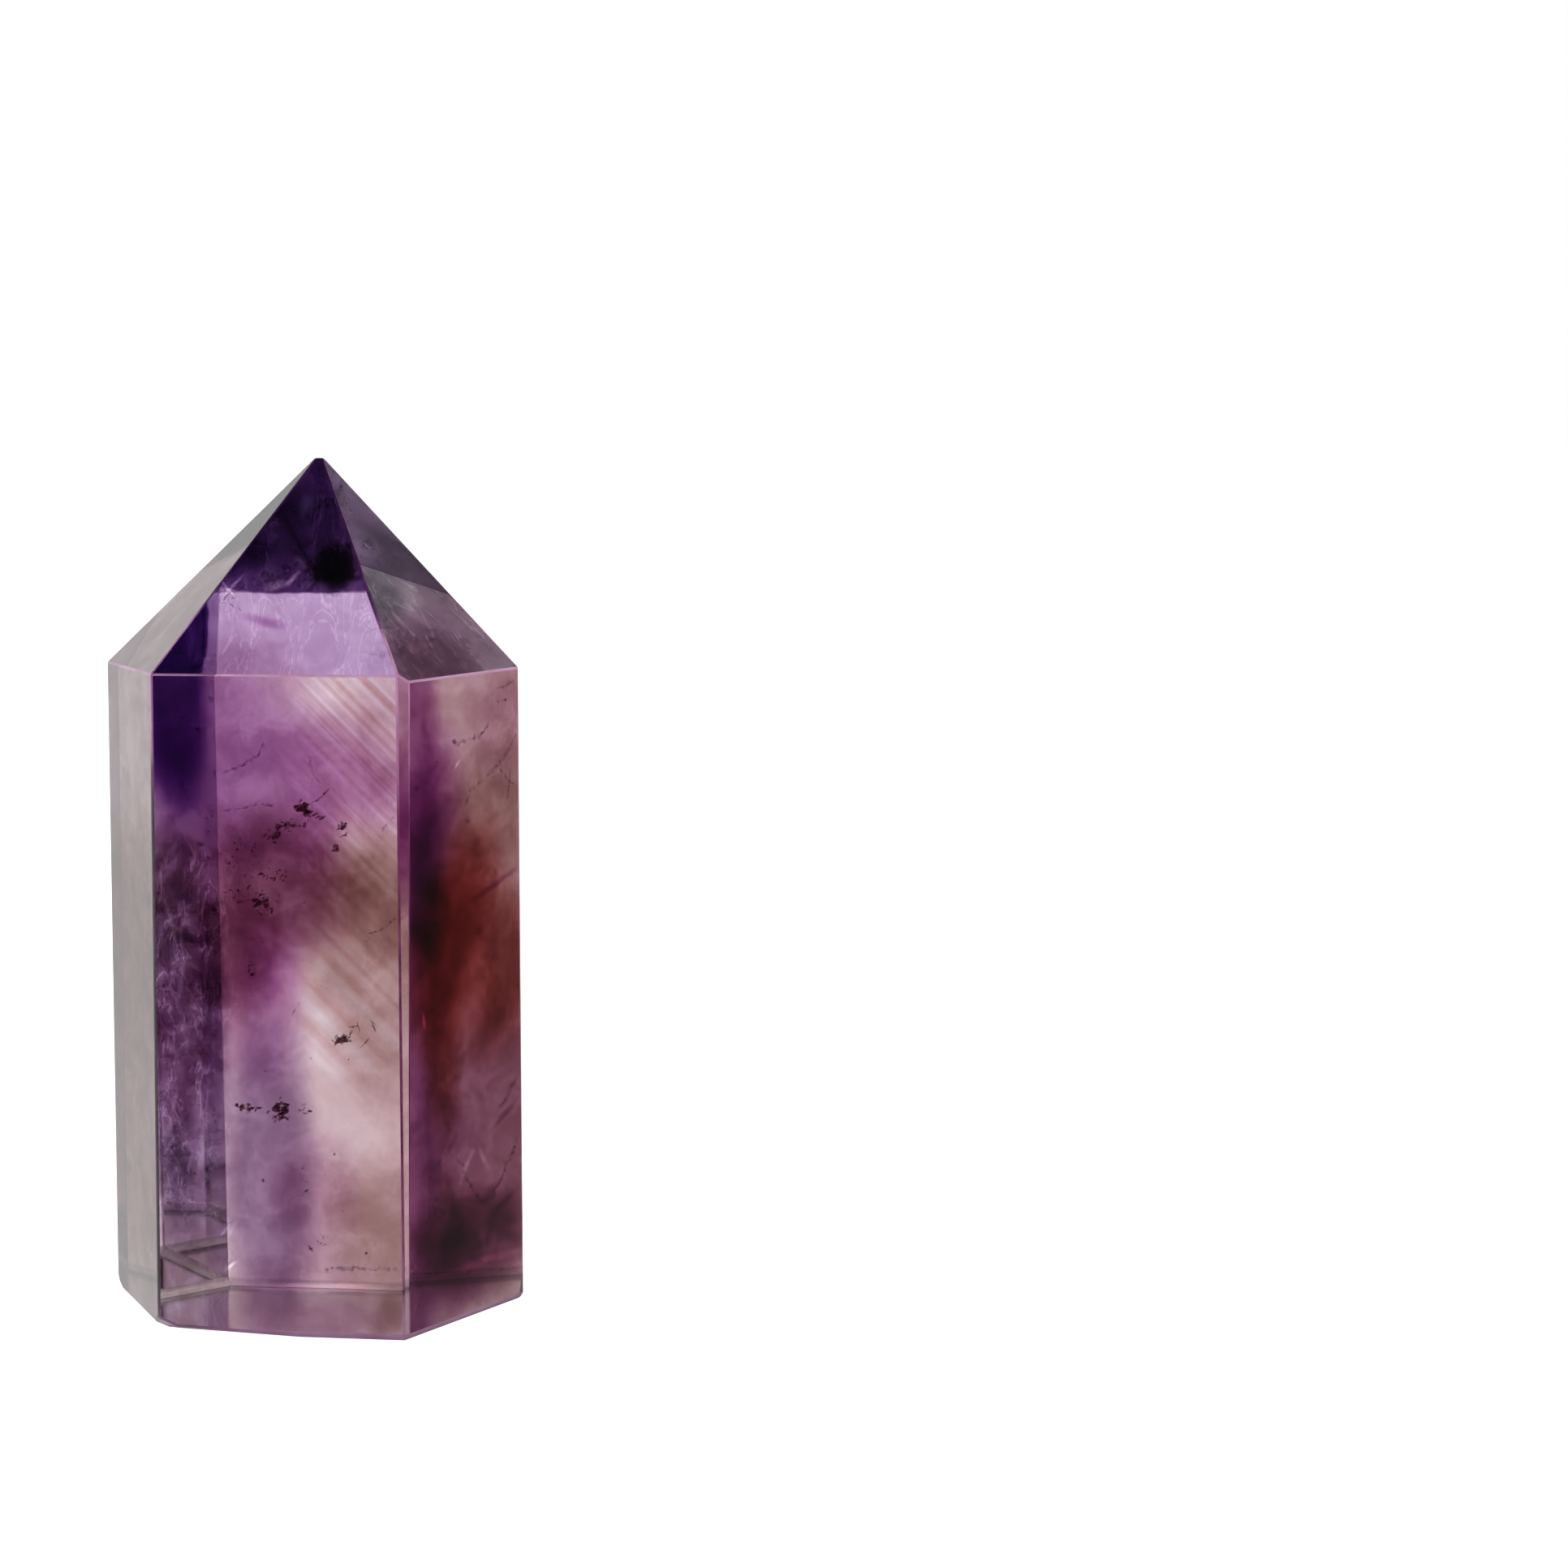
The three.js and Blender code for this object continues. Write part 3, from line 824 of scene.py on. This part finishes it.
class Inclusion:
    """One mesh of small thin patches inside the stone, all of one material."""

    def __init__(self, name, material, interior, seed):
        self.name = name
        self.material = material
        self.interior = interior
        self.dice = random.Random(seed)
        self.shape = bmesh.new()
        self.density = self.shape.verts.layers.float.new(DENSITY_NAME)

    def patch(self, centre, along, outwards, length, width, density, crisp):
        """Adds one ragged patch. A soft one thins out towards its rim."""
        across = outwards.cross(along).normalized()
        along = across.cross(outwards).normalized()
        spots = []
        for corner in range(PATCH_SIDES):
            turn = math.tau * corner / PATCH_SIDES
            reach = self.dice.uniform(*PATCH_RAGGEDNESS) / 2
            offset = along * (math.cos(turn) * length) + across * (math.sin(turn) * width)
            spots.append((centre + offset * reach) * MM)
        if not all(self.interior.holds(spot) for spot in spots):
            return
        hub = self.shape.verts.new(centre * MM)
        hub[self.density] = density
        rim = []
        for spot in spots:
            vert = self.shape.verts.new(spot)
            vert[self.density] = density if crisp else 0.0
            rim.append(vert)
        for index, vert in enumerate(rim):
            self.shape.faces.new((hub, rim[index - 1], vert))

    def trail(self, points, width, density, side="front", spread=0.12, step=0.3, crisp=False):
        """Patches along a line through the points."""
        places = [self.interior.place(point) for point in points]
        for start, end in zip(places, places[1:]):
            run = end - start
            for index in range(max(1, round(run.length / step))):
                share = (index + self.dice.random()) * step / run.length
                wander = Vector([self.dice.gauss(0, spread) for _ in range(3)])
                outwards = facing(side, TRAIL_TILT, self.dice)
                patch_length = step * self.dice.uniform(*TRAIL_LENGTHS)
                patch_width = width * self.dice.uniform(*TRAIL_WIDTHS)
                cover = density * self.dice.uniform(*VARIED_DENSITY)
                middle = start + run * min(share, 1.0) + wander
                self.patch(middle, run + wander * 2, outwards, patch_length, patch_width, cover, crisp)

    def cloud(self, centre, reach, count, length, width, density, side="front", lean=0.0, crisp=False):
        """Patches scattered through an oval, their long sides at the lean from upright."""
        middle = self.interior.place(centre)
        for _ in range(count):
            offset = Vector([self.dice.gauss(0, size / 2) for size in reach])
            turn = math.radians(lean + self.dice.gauss(0, LEAN_SPREAD))
            outwards = facing(side, CLOUD_TILT, self.dice)
            level = Vector((0, 0, 1)).cross(outwards).normalized()
            along = Vector((0, 0, math.cos(turn))) + level * math.sin(turn)
            patch_length = length * self.dice.uniform(*VARIED_SIZE)
            patch_width = width * self.dice.uniform(*VARIED_SIZE)
            cover = density * self.dice.uniform(*VARIED_DENSITY)
            self.patch(middle + offset, along, outwards, patch_length, patch_width, cover, crisp)

    def finish(self):
        mesh = bpy.data.meshes.new(self.name)
        self.shape.to_mesh(mesh)
        self.shape.free()
        mesh.materials.append(self.material)
        piece = bpy.data.objects.new(self.name, mesh)
        bpy.context.scene.collection.objects.link(piece)
        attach(piece, "root")
        return piece


def inclusion_material(name, colour, roughness, grain):
    """A thin film or grain in the stone, as dense as its patches say, with fibres in it."""
    graph = MaterialGraph(name)
    graph.set(Roughness=roughness, IOR=FILM_IOR)
    speckle = graph.noise(graph.place(), grain, detail=4.0, roughness=0.7)
    darker = tuple(part * DARKER_SHARE for part in colour)
    graph.set(Base_Color=graph.mix(speckle, darker, colour))
    density = graph.add("ShaderNodeAttribute", {"attribute_name": DENSITY_NAME}).outputs["Fac"]
    strength = graph.fade(speckle, 0.35, 0.65, 0.3, 1.4)
    shown = graph.add("ShaderNodeClamp", Value=graph.math("MULTIPLY", density, strength))
    graph.set(Alpha=shown.outputs[0])
    return graph.material


def rust_flecks(interior):
    """Dark red-brown grains: a chain across the violet part, one torn fleck and lone dots."""
    grains = Inclusion("rust_flecks", inclusion_material("rust", *RUST_LOOK), interior, 11)
    for centre, reach, count, length in RUST_GROUPS:
        long, wide = length * GRAIN_LENGTH, length * GRAIN_WIDTH
        grains.cloud(centre, reach, count, long, wide, 1.0, lean=50, crisp=True)
    for points in RUST_LINES:
        grains.trail(points, 0.12, 0.8, spread=0.05, step=0.2, crisp=True)
    return grains.finish()


def violet_cracks(interior):
    """Thin healed cracks that look darker violet than the stone round them."""
    cracks = Inclusion("violet_cracks", inclusion_material("crack", *CRACK_LOOK), interior, 12)
    for side, points, width, density in VIOLET_LINES:
        cracks.trail(points, width, density, side=side, spread=0.06, step=0.25)
    for side, centre, reach, count, length in VIOLET_BLOTS:
        cracks.cloud(centre, reach, count, length, length * 0.6, 0.4, side=side, lean=20)
    return cracks.finish()


def milky_veils(interior):
    """Pale clouds and fibres: at the foot of the stone, up its left side and in its tip."""
    veils = Inclusion("milky_veils", inclusion_material("milk", *MILK_LOOK), interior, 13)
    for centre, reach, count, length, width, density, lean in MILK_CLOUDS:
        veils.cloud(centre, reach, count, length, width, density, lean=lean)
    for side, points, width, density, spread in MILK_LINES:
        veils.trail(points, width, density, side=side, spread=spread)
    return veils.finish()


def rosy_veins(interior):
    """Brownish pink veins up the dark band on the left."""
    veins = Inclusion("rosy_veins", inclusion_material("vein", *VEIN_LOOK), interior, 14)
    for points, width, density in VEIN_LINES:
        veins.trail(points, width, density, spread=0.35)
    return veins.finish()


def painted_glint_slivers(interior):
    """Crack edges and specks in near white: painted glints, which stand for the light that their faces
    reflect.
    """
    painted_glints = Inclusion("painted_glint_slivers", inclusion_material("sliver", *PAINTED_GLINT_LOOK), interior, 15)
    for side, points, width in PAINTED_GLINT_LINES:
        painted_glints.trail(points, width, 0.8, side=side, spread=0.04, step=0.2)
    for side, centre, reach, count in PAINTED_GLINT_SPECKS:
        painted_glints.cloud(centre, reach, count, 0.22, 0.12, 0.95, side=side, lean=30, crisp=True)
    return painted_glints.finish()


def floor():
    """A wide round sheet of pale paper, just below the base of the stone."""
    bpy.ops.mesh.primitive_circle_add(vertices=96, radius=FLOOR_RADIUS, fill_type="NGON")
    ground = bpy.context.object
    ground.name = "floor"
    ground.location.z = -FLOOR_DROP
    graph = MaterialGraph("paper_floor")
    graph.set(Base_Color=FLOOR_COLOUR, Roughness=0.9, Specular_IOR_Level=0.1)
    ground.data.materials.append(graph.material)
    ground.visible_glossy = False
    return ground


def room():
    """An even white room with dark parts, which the camera sees as a plain white backdrop."""
    world = bpy.data.worlds.new("studio")
    bpy.context.scene.world = world
    world.use_nodes = True
    graph = Graph(world.node_tree)
    looking = graph.add("ShaderNodeTexCoord").outputs["Generated"]
    strength = WALL_LIGHT
    for towards, starts, full in DARK_PARTS:
        likeness = graph.vector("DOT_PRODUCT", looking, towards)
        shade = graph.fade(likeness, starts, full, 1.0, DARK_LIGHT / WALL_LIGHT)
        strength = graph.math("MULTIPLY", shade, strength)
    seen = graph.add("ShaderNodeLightPath").outputs["Is Camera Ray"]
    backdrop = graph.add("ShaderNodeMix", Factor=seen, A=strength, B=BACKDROP_LIGHT)
    background = world.node_tree.nodes["Background"]
    graph.feed(background.inputs["Strength"], backdrop.outputs["Result"])
    graph.feed(background.inputs["Color"], (1, 1, 1, 1))


def softbox(ground):
    """A large soft light behind the stone that lights the floor alone."""
    light = bpy.data.lights.new("back_softbox", "AREA")
    light.shape = "RECTANGLE"
    light.size, light.size_y = SOFTBOX_SIZE
    light.energy = SOFTBOX_POWER
    lamp = bpy.data.objects.new("back_softbox", light)
    lamp.location = SOFTBOX_PLACE
    lamp.rotation_euler = (SOFTBOX_AIM - SOFTBOX_PLACE).to_track_quat("-Z", "Y").to_euler()
    bpy.context.scene.collection.objects.link(lamp)
    lit = bpy.data.collections.new("lit_by_softbox")
    lit.objects.link(ground)
    lamp.light_linking.receiver_collection = lit
    lamp.light_linking.blocker_collection = lit


def camera():
    """The photograph's camera, with the horizon above the middle of the picture."""
    data = bpy.data.cameras.new("camera")
    data.sensor_width = SENSOR_WIDTH_MM
    data.lens = SENSOR_WIDTH_MM * FOCAL_PX / PHOTO_SIZE_PX
    data.clip_start = 0.01
    eye = bpy.data.objects.new("camera", data)
    eye.location = CAMERA_PLACE
    eye.rotation_euler = (math.pi / 2 - camera_pitch(), 0, 0)
    bpy.context.scene.collection.objects.link(eye)
    bpy.context.scene.camera = eye


def render_look():
    scene = bpy.context.scene
    scene.view_settings.view_transform = "Standard"
    scene.cycles.max_bounces = LIGHT_BOUNCES
    scene.cycles.transmission_bounces = LIGHT_BOUNCES
    scene.cycles.glossy_bounces = LIGHT_BOUNCES
    scene.cycles.transparent_max_bounces = LIGHT_BOUNCES


polished_stone()
inside = Interior()
for build in (rust_flecks, violet_cracks, milky_veils, rosy_veins, painted_glint_slivers):
    build(inside)
softbox(floor())
room()
camera()
render_look()
